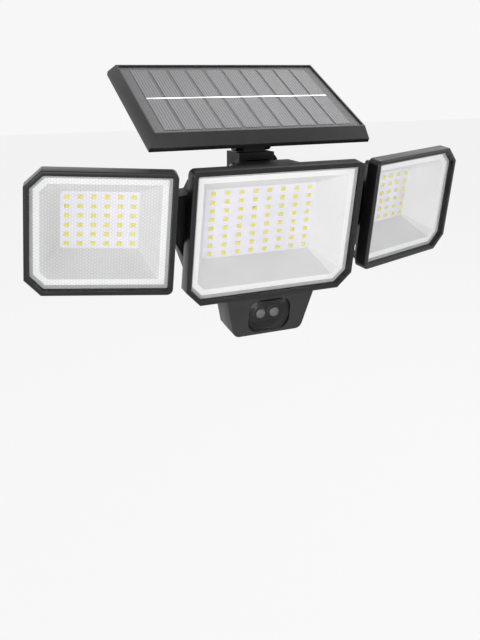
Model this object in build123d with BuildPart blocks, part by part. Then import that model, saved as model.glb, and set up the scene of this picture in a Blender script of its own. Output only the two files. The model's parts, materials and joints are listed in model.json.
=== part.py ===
from build123d import *
from collections import namedtuple
from math import atan, cos, radians, sin, sqrt, tan
import os

os.makedirs("parts", exist_ok=True)

# Solar security light with a motion sensor: three LED heads and a solar panel on a wall bracket.
# Frame: origin at the centre of the wall plate's back face, X along the wall, +Y into the wall,
# +Z up. The lamps face -Y. All sizes are in millimetres.

# ---- driving dimensions -------------------------------------------------------------------------
# poses as mounted
HEAD_TILT = 10.4            # degrees, centre head looks down
HEAD_YAW = 15.0             # degrees, side heads look outward
PANEL_TILT = 29.0           # degrees above level

# fits
FIT = 0.15                  # loose fit between parts of one assembly
RUN = 0.05                  # radial running clearance of a pin in its bore
GAP = 0.5                   # clearance between parts that swing past each other

# lamp windows, half sizes of the visible lens
CENTRE_HALF_W = 62.5
CENTRE_HALF_H = 44.6
SIDE_HALF_W = 44.7
SIDE_HALF_H = 38.9
CORNER_CUT = 8.9            # length of the cut corners, measured along one side
CORNER_ROUND = 0.8          # radius of the lens corners that aren't cut
SMALL_CUT = 1.5             # least cut left on an inset outline

# front frame of every lamp
RIM = 3.4
RIM_PROUD = 1.8
RIM_EDGE = 0.6
BEZEL_DEPTH = 8.0
LENS_T = 2.4
GASKET_T = 0.8
GASKET_W = 2.3
FLANGE_T = 1.2
FLANGE_W = 4.0
LEDGE_W = 3.2
LEDGE_T = 2.0
SHELL_STEP = 0.6            # the shell stands this much inside the bezel
SHELL_WALL = 2.2

# reflector and LED board
REFLECTOR_WALL = 1.4
REFLECTOR_RUN = 12.5        # how far the sloped walls lean in
BOARD_DEPTH = 26.3
BOARD_T = 1.6
BOARD_MARGIN = 1.2
BOARD_POST_INSET = 0.2      # posts behind the board, inward as a share of the floor's half sizes
LED_SIZE = (3.5, 2.8, 0.8)

# case screws
SCREW_R = 1.1
SCREW_HEAD_R = 2.1
SCREW_HEAD_T = 1.4
SCREW_LENGTH = 8.0
BOSS_R = 2.2
SHELL_BOSS_DEPTH = 5.0
WELL_R = 2.4
WELL_WALL = 1.2

# centre housing
SHELL_DEPTH = 34.0
SHELL_REAR_INSET = 12.0
HUMP_HALF_W = 18.0
HUMP_FOOT = 36.0
HUMP_RISE = 0.2
HUMP_DROP = 4.6
HUMP_BEHIND = 2.0           # hump's rear face behind the side hinge axes
HUMP_LENGTH = 12.0

# tilt hinge of the centre head
KNUCKLE_R = 6.8
TONGUE_HALF_W = 8.0
TONGUE_ROOT = 12.0          # height of the tongue where it leaves the housing
TILT_BOLT_R = 2.5
TILT_BACK = 13.65           # hinge axis behind the housing's rear wall
TILT_UP = 32.4              # hinge axis above the lens centre

# side hinges
SIDE_GAP = 10.0             # from the centre rim to the side hinge axis
ARM_R = 7.3
ARM_DEPTH = 24.0
ARM_TOP = 26.0
ARM_SHOULDER_X = 19.5       # the arm's corners, inward from the hinge axis
ARM_SHOULDER_RISE = 6.5
ARM_NOTCH_X = 16.9
ARM_NOTCH_RISE = 0.8
ARM_ELBOW_X = 13.8
ARM_ELBOW_DROP = 10.6
ARM_FOOT_X = 20.6
ARM_FOOT_DROP = 26.6
FORK_TOP = 22.0
FORK_LOW = -1.0
ARM_LOW = -7.5
PIN_R = 2.0
PIN_HEAD_R = 3.6
PIN_HEAD_T = 1.5
WEB_T = 8.8                 # web from the side shell to its knuckle
HINGE_TUCK = 3.2           # side hinge axis inside the side lens edge
HEAD_RAISE = 5.9            # side head centre above the centre head's
SIDE_DEPTH = BOARD_DEPTH + BOARD_T + SHELL_WALL
SIDE_REAR_INSET = 11.3
SHOULDER_DEPTH = 12.0
ARM_GAP = 1.1

# battery bay on the centre housing
CELL_R = 9.2
CELL_LENGTH = 65.0
HOLDER_FLOOR = 1.2
HOLDER_WALL = 2.4
CONTACT_T = 0.5
CONTACT_INSET = 2.0         # contact discs' edge inside the cell's
BAY_WALL = 2.0
BAY_END = 6.0
BAY_CENTRE = -21.5
SEAL_T = 0.8
COVER_T = 2.4
COVER_EDGE = 0.8
BAY_SCREW_LENGTH = 8.0

# motion sensor housing
SENSOR_TOP_HALF_W = 34.5
SENSOR_HEIGHT = 29.0
SENSOR_LEAN = 0.265         # side walls, sideways per millimetre of height
SENSOR_FRONT = 1.0
SENSOR_REAR = 21.0
SENSOR_RISE = 3.5           # the bottom climbs this much towards the rear
SENSOR_WALL = 2.0
SENSOR_FACE_T = 2.5
SENSOR_CORNER = 5.5
DOME_W = 33.0
DOME_H = 24.4
DOME_ROUND = 8.0
DOME_DROP = 14.6            # dome centre below the top of the sensor housing
DOME_R = 35.4
DOME_PROUD = 3.5
DOME_WALL = 1.4
DOME_FLANGE = 2.0
DOME_FLANGE_T = 1.2
CAN_R = 4.6
CAN_HEIGHT = 4.2
CAN_SPACING = 11.0
CAN_TOP = 1.2               # sensor cans' tops behind the lens plane
CONTROL_W = 48.0
CONTROL_H = 19.0
CONTROL_DEPTH = 12.0
POST_R = 1.8
SENSOR_SCREW_DROP = 5.0
BUTTON_R = 4.0
BUTTON_PROUD = 2.0
BUTTON_EDGE = 0.6
BUTTON_FLANGE_T = 1.1
BUTTON_FLANGE_W = 1.5
SWITCH_SIZE = 6.0
SWITCH_HEIGHT = 2.6

# wall bracket
STANDOFF = 114.0            # wall to the centre of the lens
PLATE_W = 38.0
PLATE_H = 86.0
PLATE_T = 4.0
PLATE_ROUND = 5.0
WALL_HOLE_R = 2.5
WALL_HOLE_SPACING = 50.0
WALL_HOLE_CENTRE = -10.0
NECK_HALF_W = 14.0
NECK_FRONT = 10.0           # ahead of the hinge axes
NECK_BACK = 11.0            # behind the hinge axes
NECK_CHIN = 2.0             # front face's lower edge above the foot of the tongue's knuckle
ARM_HALF_W = 11.0
ARM_HEIGHT = 14.0
ARM_DROP = 9.5              # arm's top below the tilt axis
RISE = 11.0                 # lens centre above the plate's centre
NUT_BOSS_R = 10.0
NUT_BOSS_T = 4.0
RIB_T = 3.0
RIB_REACH = 26.0
RIB_DROP = 25.0
NUT_T = 3.6
NUT_RATIO = 1.85            # nut's corner radius over its bolt's radius
BOLT_END = 1.0
BOLT_HEAD_R = 4.4
BOLT_HEAD_T = 2.4

# solar panel
SHEET_W = 162.6
SHEET_H = 88.9
TRAY_FLARE_X = 5.1          # tray's foot outside the sheet, at each end
TRAY_FLARE_Y = 6.3
TRAY_RIM = 1.2
TRAY_LIP = 0.4
BEVEL_DEPTH = 8.0
TRAY_DEPTH = 11.0
TRAY_LEDGE = 5.0
COVER_SHEET_T = 0.8
BUSBAR_T = 0.15
BUSBAR_W = 1.2
CELL_SHEET_T = 0.4
BACKING_T = 1.85
CELL_MARGIN_X = 7.9         # bare sheet beside the cells
CELL_MARGIN_Y = 4.2
CELL_W = 12.6
CELL_GAP = 2.3
BACK_COVER_T = 2.2
BACK_COVER_MARGIN = 5.0
PANEL_HUB_R = 6.4
PANEL_BOLT_R = 2.0
PANEL_TONGUE_HALF_W = 8.5
PANEL_LIFT = 19.5           # panel axis above the tilt axis
PANEL_HINGE_AHEAD = 29.6    # panel axis ahead of the sheet's centre, along the slope
BRACKET_T = 2.8
BRACKET_HALF_W = 17.0
BRACKET_AHEAD = 13.0
BRACKET_BEHIND = 34.0
BRACKET_SCREW_INSET = 3.75
PANEL_SCREW_R = 1.25
PANEL_SCREW_HEAD_R = 2.5
PANEL_SCREW_HEAD_T = 1.5
PANEL_SCREW_LENGTH = 5.5
PANEL_GLAND_INSET = 19.45   # panel's grommet inside the sheet's upper edge
GLAND_R = 4.5
GLAND_HOLE_R = 1.6
GLAND_LENGTH = 6.0
GLAND_X = 30.0
GLAND_Y = 10.0

# ---- planes -------------------------------------------------------------------------------------
tilt = radians(HEAD_TILT)
yaw = radians(HEAD_YAW)
slope = radians(PANEL_TILT)

seat = LENS_T + GASKET_T + FLANGE_T          # depth of the ledge that carries the reflector
ledge_back = seat + LEDGE_T
window_inset = GASKET_W + FLANGE_W           # from the lens edge to the reflector's opening
arm_x = CENTRE_HALF_W + RIM + SIDE_GAP

forward = Vector(0, -cos(tilt), -sin(tilt))
upward = Vector(0, -sin(tilt), cos(tilt))

tilt_behind = SHELL_DEPTH + TILT_BACK
lens_centre = Vector(0, -STANDOFF, RISE)
tilt_axis = lens_centre - forward * tilt_behind + upward * TILT_UP
panel_axis = tilt_axis + Vector(0, 0, PANEL_LIFT)

CENTRE = Plane(origin=lens_centre, x_dir=(1, 0, 0), z_dir=forward)
CENTRE_SIDE = Plane(origin=lens_centre, x_dir=forward, z_dir=(-1, 0, 0))
CENTRE_FLOOR = Plane(origin=lens_centre, x_dir=(1, 0, 0), z_dir=upward)

side_x_dir = Vector(cos(yaw), 0, 0) - forward * sin(yaw)
side_forward = Vector(sin(yaw), 0, 0) + forward * cos(yaw)
hinge_inboard = SIDE_HALF_W - HINGE_TUCK
hinge_point = lens_centre + Vector(arm_x, 0, 0) - forward * ARM_DEPTH + upward * HEAD_RAISE
side_centre = hinge_point + side_x_dir * hinge_inboard + side_forward * ARM_DEPTH
SIDE = Plane(origin=side_centre, x_dir=side_x_dir, z_dir=side_forward)
SIDE_FLOOR = Plane(origin=side_centre, x_dir=side_x_dir, z_dir=upward)

panel_up = Vector(0, cos(slope), sin(slope))
panel_normal = Vector(0, -sin(slope), cos(slope))
hub_below_sheet = TRAY_DEPTH + BRACKET_T + PANEL_HUB_R + GAP
sheet_centre = panel_axis + panel_up * PANEL_HINGE_AHEAD + panel_normal * hub_below_sheet
PANEL = Plane(origin=sheet_centre, x_dir=(1, 0, 0), z_dir=panel_normal)
PANEL_SIDE = Plane(origin=panel_axis, x_dir=panel_up, z_dir=(1, 0, 0))
TILT_SIDE = Plane(origin=tilt_axis, x_dir=(0, 1, 0), z_dir=(1, 0, 0))
HUB_SIDE = Plane(origin=panel_axis, x_dir=(0, 1, 0), z_dir=(1, 0, 0))

Lamp = namedtuple("Lamp", "plane half_w half_h cuts columns rows margin_x margin_y")
LOWER = ((1, -1), (-1, -1))
OUTER = ((1, 1), (1, -1))
centre_lamp = Lamp(CENTRE, CENTRE_HALF_W, CENTRE_HALF_H, LOWER, 8, 8, 5.2, 3.2)
side_lamp = Lamp(SIDE, SIDE_HALF_W, SIDE_HALF_H, OUTER, 6, 6, 4.0, 3.6)


def save(name, piece):
    """Label a finished piece and write it as one STEP file."""
    piece.part.label = name
    export_step(piece.part, f"parts/{name}.step")


def save_both(name, piece):
    """Write a right-hand piece and its mirror image on the left."""
    save(f"right_{name}", piece)
    with BuildPart() as left:
        mirror(piece.part, about=Plane.YZ)
    save(f"left_{name}", left)


# ---- lamp outlines ------------------------------------------------------------------------------
def window(lamp, inset, inset_h=None):
    """Outline of a lamp, drawn inset mm inside the edge of its lens (outside when negative)."""
    a = lamp.half_w - inset
    b = lamp.half_h - (inset if inset_h is None else inset_h)
    cut = max(CORNER_CUT - (2 - sqrt(2)) * inset, SMALL_CUT)
    points = []
    for sx, sy in ((-1, 1), (1, 1), (1, -1), (-1, -1)):
        if (sx, sy) in lamp.cuts:
            pair = [(sx * (a - cut), sy * b), (sx * a, sy * (b - cut))]
            points += pair if sx * sy > 0 else pair[::-1]
        else:
            points.append((sx * a, sy * b))
    with BuildSketch(mode=Mode.PRIVATE) as outline:
        Polygon(*points, align=None)
        square = [v for v in outline.vertices() if abs(v.X) > a - 1e-3 and abs(v.Y) > b - 1e-3]
        fillet(square, radius=max(CORNER_ROUND - inset, CORNER_ROUND / 2))
    add(outline.sketch)


def screw_spots(lamp):
    """Places of the four case screws, just inside the corners of the lens."""
    spots = []
    for sx, sy in ((-1, 1), (1, 1), (1, -1), (-1, -1)):
        back = BOSS_R
        if (sx, sy) in lamp.cuts:
            back = CORNER_CUT / 2 + BOSS_R / sqrt(2)
        spots.append((sx * (lamp.half_w - back), sy * (lamp.half_h - back)))
    return spots


def screw_columns(lamp, depth, rear_inset):
    """Solid columns round the case screws, trimmed to the outside of the tapered shell."""
    with BuildPart(mode=Mode.PRIVATE) as columns:
        add(shell_blank(lamp, depth, rear_inset, 0))
        with BuildSketch(lamp.plane.offset(-BEZEL_DEPTH)):
            boss_circles(lamp, WELL_R + WELL_WALL)
        extrude(amount=-depth, mode=Mode.INTERSECT)
    return columns.part


def boss_circles(lamp, radius):
    """One circle at each case screw."""
    with Locations(*screw_spots(lamp)):
        Circle(radius)


def open_area(lamp, inset):
    """A lamp outline with the screw bosses left standing."""
    window(lamp, inset)
    with Locations(*screw_spots(lamp)):
        Circle(BOSS_R, mode=Mode.SUBTRACT)


# ---- pieces that every lamp has -----------------------------------------------------------------
def make_bezel(lamp):
    """Moulded front frame with a ledge for the reflector and four screw bosses."""
    plane = lamp.plane
    front = Axis(plane.origin, plane.z_dir)
    with BuildPart() as bezel:
        with BuildSketch(plane.offset(-BEZEL_DEPTH)):
            window(lamp, -RIM)
        extrude(amount=BEZEL_DEPTH + RIM_PROUD)
        chamfer(bezel.faces().sort_by(front)[-1].edges(), length=RIM_EDGE)
        with BuildSketch(plane.offset(-seat)):
            window(lamp, -FIT)
        extrude(amount=seat + RIM_PROUD, mode=Mode.SUBTRACT)
        with BuildSketch(plane.offset(-ledge_back)):
            open_area(lamp, LEDGE_W)
        extrude(amount=LEDGE_T, mode=Mode.SUBTRACT)
        with BuildSketch(plane.offset(-BEZEL_DEPTH)):
            open_area(lamp, -FIT)
        extrude(amount=BEZEL_DEPTH - ledge_back, mode=Mode.SUBTRACT)
        with BuildSketch(plane.offset(-BEZEL_DEPTH)):
            boss_circles(lamp, SCREW_R)
        extrude(amount=SCREW_LENGTH - SHELL_BOSS_DEPTH, mode=Mode.SUBTRACT)
    return bezel


def make_lens(lamp):
    """Flat clear cover, its front edge eased."""
    front = Axis(lamp.plane.origin, lamp.plane.z_dir)
    with BuildPart() as lens:
        with BuildSketch(lamp.plane.offset(-LENS_T)):
            window(lamp, 0)
        extrude(amount=LENS_T)
        chamfer(lens.faces().sort_by(front)[-1].edges(), length=RIM_EDGE / 2)
    return lens


def make_gasket(lamp):
    """Flat silicone ring between the lens and the reflector's flange."""
    with BuildPart() as gasket:
        with BuildSketch(lamp.plane.offset(-LENS_T - GASKET_T)):
            window(lamp, 0)
            with BuildSketch(mode=Mode.PRIVATE) as hole:
                window(lamp, GASKET_W)
            add(hole.sketch, mode=Mode.SUBTRACT)
        extrude(amount=GASKET_T)
    return gasket


def make_reflector(lamp):
    """White tray with sloped walls and an open floor that frames the LEDs."""
    plane = lamp.plane
    top = plane.offset(-LENS_T - GASKET_T)
    floor = plane.offset(-BOARD_DEPTH)
    with BuildPart() as reflector:
        with BuildSketch(top):
            window(lamp, 0)
        extrude(amount=-FLANGE_T)
        with BuildSketch(top):
            window(lamp, window_inset - REFLECTOR_WALL)
        with BuildSketch(floor):
            window(lamp, window_inset + REFLECTOR_RUN - REFLECTOR_WALL)
        loft()
        with BuildSketch(top):
            window(lamp, window_inset)
        with BuildSketch(floor):
            window(lamp, window_inset + REFLECTOR_RUN)
        loft(mode=Mode.SUBTRACT)
    return reflector


def floor_half(lamp):
    """Half sizes of the reflector's open floor."""
    inset = window_inset + REFLECTOR_RUN
    return lamp.half_w - inset, lamp.half_h - inset


def make_board(lamp):
    """White LED board behind the reflector's floor."""
    half_w, half_h = floor_half(lamp)
    with BuildPart() as board:
        with BuildSketch(lamp.plane.offset(-BOARD_DEPTH)):
            Rectangle(2 * (half_w + BOARD_MARGIN), 2 * (half_h + BOARD_MARGIN))
        extrude(amount=-BOARD_T)
    return board


def make_leds(lamp):
    """Surface-mount LEDs in rows on the board, each a separate solid."""
    half_w, half_h = floor_half(lamp)
    pitch_x = 2 * (half_w - lamp.margin_x) / (lamp.columns - 1)
    pitch_y = 2 * (half_h - lamp.margin_y) / (lamp.rows - 1)
    with BuildPart() as leds:
        with BuildSketch(lamp.plane.offset(-BOARD_DEPTH)):
            with GridLocations(pitch_x, pitch_y, lamp.columns, lamp.rows):
                Rectangle(LED_SIZE[0], LED_SIZE[1])
        extrude(amount=LED_SIZE[2])
    return leds


def make_case_screws(lamp):
    """Four pan-head screws from behind, through the shell's bosses into the bezel."""
    with BuildPart() as screws:
        with BuildSketch(lamp.plane.offset(-BEZEL_DEPTH - SHELL_BOSS_DEPTH)):
            boss_circles(lamp, SCREW_R)
        extrude(amount=SCREW_LENGTH)
        with BuildSketch(lamp.plane.offset(-BEZEL_DEPTH - SHELL_BOSS_DEPTH)):
            boss_circles(lamp, SCREW_HEAD_R)
        extrude(amount=-SCREW_HEAD_T)
    return screws


def shell_blank(lamp, depth, rear_inset, wall):
    """Tapered block behind the bezel: the outside when wall is 0, else the hollow inside it."""
    with BuildPart(mode=Mode.PRIVATE) as blank:
        with BuildSketch(lamp.plane.offset(-BEZEL_DEPTH)):
            window(lamp, SHELL_STEP - RIM + wall)
        with BuildSketch(lamp.plane.offset(-depth + wall)):
            window(lamp, rear_inset + wall)
        loft()
    return blank.part


# ---- centre head --------------------------------------------------------------------------------
bay_inner_half_w = CELL_LENGTH / 2 + CONTACT_T + FIT + HOLDER_WALL + FIT
bay_half_w = bay_inner_half_w + BAY_END
bay_inner_half_h = CELL_R + FIT + HOLDER_FLOOR
bay_half_h = bay_inner_half_h + BAY_WALL
cell_depth = SHELL_DEPTH + HOLDER_FLOOR + FIT + CELL_R
bay_depth = cell_depth + CELL_R + GAP
bay_screw_x = bay_inner_half_w + BAY_END / 2
bay_screw_y = bay_half_h - BAY_END / 2
post_pitches = [2 * (1 - BOARD_POST_INSET) * half for half in floor_half(centre_lamp)]


def arm_profile(side):
    """Side arm seen from the front, from the housing's corner to the hinge axis."""
    root_x = CENTRE_HALF_W - SHELL_REAR_INSET
    points = [
        (root_x, ARM_TOP + ARM_SHOULDER_RISE),
        (arm_x - ARM_SHOULDER_X, ARM_TOP + ARM_SHOULDER_RISE),
        (arm_x - ARM_NOTCH_X, ARM_TOP + ARM_NOTCH_RISE),
        (arm_x - ARM_R, ARM_TOP),
        (arm_x, ARM_TOP),
        (arm_x, ARM_LOW),
        (arm_x - ARM_R, ARM_LOW),
        (arm_x - ARM_ELBOW_X, ARM_LOW - ARM_ELBOW_DROP),
        (arm_x - ARM_FOOT_X, ARM_LOW - ARM_FOOT_DROP),
        (root_x, ARM_LOW - ARM_FOOT_DROP),
    ]
    Polygon(*[(side * x, y) for x, y in points], align=None)


with BuildPart() as rear_housing:
    add(shell_blank(centre_lamp, SHELL_DEPTH, SHELL_REAR_INSET, 0))
    # side arms with round ends about the side hinge axes
    with BuildSketch(CENTRE.offset(-ARM_DEPTH - ARM_R)):
        arm_profile(1)
        arm_profile(-1)
    extrude(amount=2 * ARM_R)
    with BuildSketch(CENTRE_FLOOR.offset(ARM_LOW)):
        with Locations((arm_x, ARM_DEPTH), (-arm_x, ARM_DEPTH)):
            Circle(ARM_R)
    extrude(amount=ARM_TOP - ARM_LOW)
    # raised spine over the rear edge of the housing
    with BuildSketch(CENTRE.offset(-ARM_DEPTH - HUMP_BEHIND)):
        Polygon(
            (-HUMP_FOOT, TILT_UP),
            (-HUMP_FOOT, CENTRE_HALF_H - HUMP_DROP),
            (-HUMP_HALF_W, CENTRE_HALF_H + HUMP_RISE),
            (HUMP_HALF_W, CENTRE_HALF_H + HUMP_RISE),
            (HUMP_FOOT, CENTRE_HALF_H - HUMP_DROP),
            (HUMP_FOOT, TILT_UP),
            align=None,
        )
    extrude(amount=HUMP_LENGTH)
    # tongue that carries the whole head on the tilt hinge
    with BuildSketch(CENTRE_SIDE):
        with Locations((-tilt_behind, TILT_UP)):
            Circle(KNUCKLE_R)
        with Locations((-SHELL_DEPTH + SHELL_WALL, TILT_UP - TONGUE_ROOT / 2)):
            Rectangle(SHELL_WALL, TONGUE_ROOT)
        make_hull()
    extrude(amount=TONGUE_HALF_W, both=True)
    # battery bay
    with BuildSketch(CENTRE.offset(-bay_depth)):
        with Locations((0, BAY_CENTRE)):
            Rectangle(2 * bay_half_w, 2 * bay_half_h)
        fillet(vertices(), radius=BAY_WALL)
    extrude(amount=bay_depth - SHELL_DEPTH + SHELL_WALL)
    # hollow inside, with four posts that hold the LED board
    add(shell_blank(centre_lamp, SHELL_DEPTH, SHELL_REAR_INSET, SHELL_WALL), mode=Mode.SUBTRACT)
    add(screw_columns(centre_lamp, SHELL_DEPTH, SHELL_REAR_INSET))
    with BuildSketch(CENTRE.offset(-BOARD_DEPTH - BOARD_T)):
        with GridLocations(*post_pitches, 2, 2):
            Circle(POST_R)
    extrude(amount=BOARD_DEPTH + BOARD_T - SHELL_DEPTH)
    with BuildSketch(CENTRE.offset(-bay_depth)):
        with Locations((0, BAY_CENTRE)):
            Rectangle(2 * bay_inner_half_w, 2 * bay_inner_half_h)
    extrude(amount=bay_depth - SHELL_DEPTH, mode=Mode.SUBTRACT)
    with BuildSketch(CENTRE.offset(-bay_depth)):
        with Locations((0, BAY_CENTRE)):
            with GridLocations(2 * bay_screw_x, 2 * bay_screw_y, 2, 2):
                Circle(SCREW_R)
    extrude(amount=BAY_SCREW_LENGTH, mode=Mode.SUBTRACT)
    # fork slots for the side heads' knuckles, and the three hinge bores
    with BuildSketch(CENTRE_FLOOR.offset(FORK_LOW)):
        for side in (1, -1):
            with Locations((side * (arm_x + ARM_R / 2), ARM_DEPTH)):
                Rectangle(3 * ARM_R + 2 * GAP, 2 * ARM_R + 2 * GAP)
    extrude(amount=FORK_TOP - FORK_LOW, mode=Mode.SUBTRACT)
    with BuildSketch(CENTRE_FLOOR.offset(ARM_LOW)):
        with Locations((arm_x, ARM_DEPTH), (-arm_x, ARM_DEPTH)):
            Circle(PIN_R + RUN)
    extrude(amount=ARM_TOP - ARM_LOW, mode=Mode.SUBTRACT)
    with BuildSketch(CENTRE_SIDE):
        with Locations((-tilt_behind, TILT_UP)):
            Circle(TILT_BOLT_R + RUN)
    extrude(amount=TONGUE_HALF_W, both=True, mode=Mode.SUBTRACT)
    with BuildSketch(CENTRE.offset(-BEZEL_DEPTH)):
        boss_circles(centre_lamp, SCREW_R)
    extrude(amount=-SHELL_BOSS_DEPTH, mode=Mode.SUBTRACT)
    with BuildSketch(CENTRE.offset(-BEZEL_DEPTH - SHELL_BOSS_DEPTH)):
        boss_circles(centre_lamp, WELL_R)
    extrude(amount=-SHELL_DEPTH, mode=Mode.SUBTRACT)
save("rear_housing", rear_housing)

centre_makers = {
    "centre_bezel": make_bezel,
    "centre_lens": make_lens,
    "centre_gasket": make_gasket,
    "centre_reflector": make_reflector,
    "centre_led_board": make_board,
    "centre_leds": make_leds,
    "centre_case_screws": make_case_screws,
}
for name, make in centre_makers.items():
    save(name, make(centre_lamp))

# ---- battery ------------------------------------------------------------------------------------
CELL_LINE = Plane(
    origin=lens_centre - forward * cell_depth + upward * BAY_CENTRE, x_dir=forward, z_dir=(1, 0, 0)
)

with BuildPart() as battery_cell:
    with BuildSketch(CELL_LINE):
        Circle(CELL_R)
    extrude(amount=CELL_LENGTH / 2, both=True)
save("battery_cell", battery_cell)

holder_half_w = bay_inner_half_w - FIT
with BuildPart() as battery_holder:
    with BuildSketch(CENTRE.offset(-cell_depth)):
        with Locations((0, BAY_CENTRE)):
            Rectangle(2 * holder_half_w, 2 * (bay_inner_half_h - FIT))
    extrude(amount=cell_depth - SHELL_DEPTH)
    with BuildSketch(CELL_LINE):
        Circle(CELL_R + FIT)
    extrude(amount=CELL_LENGTH / 2 + CONTACT_T + FIT, both=True, mode=Mode.SUBTRACT)
save("battery_holder", battery_holder)

with BuildPart() as battery_contacts:
    for side in (1, -1):
        with BuildSketch(CELL_LINE.offset(side * (CELL_LENGTH / 2 + CONTACT_T / 2))):
            Circle(CELL_R - CONTACT_INSET)
        extrude(amount=CONTACT_T / 2, both=True)
save("battery_contacts", battery_contacts)

with BuildPart() as battery_seal:
    with BuildSketch(CENTRE.offset(-bay_depth - SEAL_T)):
        with Locations((0, BAY_CENTRE)):
            Rectangle(2 * bay_half_w, 2 * bay_half_h)
            Rectangle(2 * bay_inner_half_w, 2 * bay_inner_half_h, mode=Mode.SUBTRACT)
            with GridLocations(2 * bay_screw_x, 2 * bay_screw_y, 2, 2):
                Circle(SCREW_R, mode=Mode.SUBTRACT)
    extrude(amount=SEAL_T)
save("battery_seal", battery_seal)

cover_back = bay_depth + SEAL_T + COVER_T
with BuildPart() as battery_cover:
    with BuildSketch(CENTRE.offset(-cover_back)):
        with Locations((0, BAY_CENTRE)):
            Rectangle(2 * bay_half_w, 2 * bay_half_h)
            with GridLocations(2 * bay_screw_x, 2 * bay_screw_y, 2, 2):
                Circle(SCREW_R, mode=Mode.SUBTRACT)
    extrude(amount=COVER_T)
    outside = battery_cover.faces().sort_by(Axis(CENTRE.origin, CENTRE.z_dir))[0]
    fillet(outside.outer_wire().edges(), radius=COVER_EDGE)
save("battery_cover", battery_cover)

with BuildPart() as battery_cover_screws:
    with BuildSketch(CENTRE.offset(-cover_back)):
        with Locations((0, BAY_CENTRE)):
            with GridLocations(2 * bay_screw_x, 2 * bay_screw_y, 2, 2):
                Circle(SCREW_R)
    extrude(amount=cover_back - bay_depth + BAY_SCREW_LENGTH - GAP)
    with BuildSketch(CENTRE.offset(-cover_back)):
        with Locations((0, BAY_CENTRE)):
            with GridLocations(2 * bay_screw_x, 2 * bay_screw_y, 2, 2):
                Circle(SCREW_HEAD_R)
    extrude(amount=-SCREW_HEAD_T)
save("battery_cover_screws", battery_cover_screws)

# ---- motion sensor ------------------------------------------------------------------------------
sensor_top = -CENTRE_HALF_H - RIM
sensor_bottom = sensor_top - SENSOR_HEIGHT
sensor_line = sensor_top - DOME_DROP
shell_bottom = sensor_top + SHELL_STEP
shell_taper = (SHELL_REAR_INSET + RIM - SHELL_STEP) / (SHELL_DEPTH - BEZEL_DEPTH)
cover_face = SENSOR_REAR - SENSOR_WALL


def sensor_block(inset, front, rear):
    """Sensor housing as a solid block, all its walls moved in by inset."""
    outside = inset == 0
    top = sensor_top if outside else sensor_top + SENSOR_HEIGHT / 3
    step = shell_bottom if outside else top
    rear_top = shell_bottom + shell_taper * (rear - BEZEL_DEPTH) if outside else top
    climb = SENSOR_RISE / (SENSOR_FRONT + SENSOR_REAR)
    half_w = SENSOR_TOP_HALF_W - inset
    foot = half_w - SENSOR_LEAN * SENSOR_HEIGHT
    head = half_w + SENSOR_LEAN * SENSOR_HEIGHT / 2
    with BuildPart(mode=Mode.PRIVATE) as block:
        with BuildSketch(CENTRE.offset(-rear)):
            Polygon(
                (-head, sensor_top + SENSOR_HEIGHT / 2),
                (head, sensor_top + SENSOR_HEIGHT / 2),
                (foot, sensor_bottom + inset),
                (-foot, sensor_bottom + inset),
                align=None,
            )
            low = [v for v in vertices() if v.Y < sensor_bottom + inset + 1e-3]
            fillet(low, radius=SENSOR_CORNER - inset)
        extrude(amount=rear + front)
        with BuildSketch(CENTRE_SIDE):
            Polygon(
                (front, top),
                (-BEZEL_DEPTH, top),
                (-BEZEL_DEPTH, step),
                (-rear, rear_top),
                (-rear, sensor_bottom + inset + climb * (SENSOR_FRONT + rear)),
                (front, sensor_bottom + inset + climb * (SENSOR_FRONT - front)),
                align=None,
            )
        extrude(amount=2 * SENSOR_TOP_HALF_W, both=True, mode=Mode.INTERSECT)
    return block.part


dome_spot = lens_centre + upward * sensor_line
dome_middle = dome_spot + forward * (SENSOR_FRONT + DOME_PROUD - DOME_R)
face_back = SENSOR_FRONT - SENSOR_FACE_T
can_base = CAN_TOP + CAN_HEIGHT
post_x = DOME_W / 2 + DOME_FLANGE + POST_R + GAP
post_y = DOME_H / 4
screw_x = SENSOR_TOP_HALF_W - SENSOR_WALL - SENSOR_LEAN * SENSOR_SCREW_DROP - BOSS_R
screw_y = sensor_top - SENSOR_SCREW_DROP

with BuildPart() as sensor_housing:
    add(sensor_block(0, SENSOR_FRONT, cover_face))
    add(sensor_block(SENSOR_WALL, face_back, cover_face), mode=Mode.SUBTRACT)
    with BuildSketch(CENTRE.offset(SENSOR_FRONT)):
        with Locations((0, sensor_line)):
            RectangleRounded(DOME_W, DOME_H, DOME_ROUND)
    extrude(amount=-SENSOR_FACE_T, mode=Mode.SUBTRACT)
    # posts for the sensor board and bosses for the rear cover's screws
    with BuildSketch(CENTRE.offset(-can_base)):
        with Locations((0, sensor_line)):
            with GridLocations(2 * post_x, 2 * post_y, 2, 2):
                Circle(POST_R)
    extrude(amount=can_base + face_back)
    with BuildSketch(CENTRE.offset(-cover_face)):
        with Locations((screw_x, screw_y), (-screw_x, screw_y)):
            Circle(BOSS_R + FIT)
    extrude(amount=cover_face + face_back)
    with BuildSketch(CENTRE.offset(-cover_face)):
        with Locations((screw_x, screw_y), (-screw_x, screw_y)):
            Circle(SCREW_R)
    extrude(amount=SCREW_LENGTH, mode=Mode.SUBTRACT)
save("sensor_housing", sensor_housing)

with BuildPart(mode=Mode.PRIVATE) as dome_hollow:
    with BuildSketch(CENTRE.offset(face_back - DOME_FLANGE_T)):
        with Locations((0, sensor_line)):
            RectangleRounded(DOME_W - 2 * DOME_WALL, DOME_H - 2 * DOME_WALL, DOME_ROUND - DOME_WALL)
    extrude(amount=SENSOR_FACE_T + DOME_FLANGE_T + DOME_PROUD)
    with Locations(dome_middle):
        Sphere(DOME_R - DOME_WALL, mode=Mode.INTERSECT)

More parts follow.
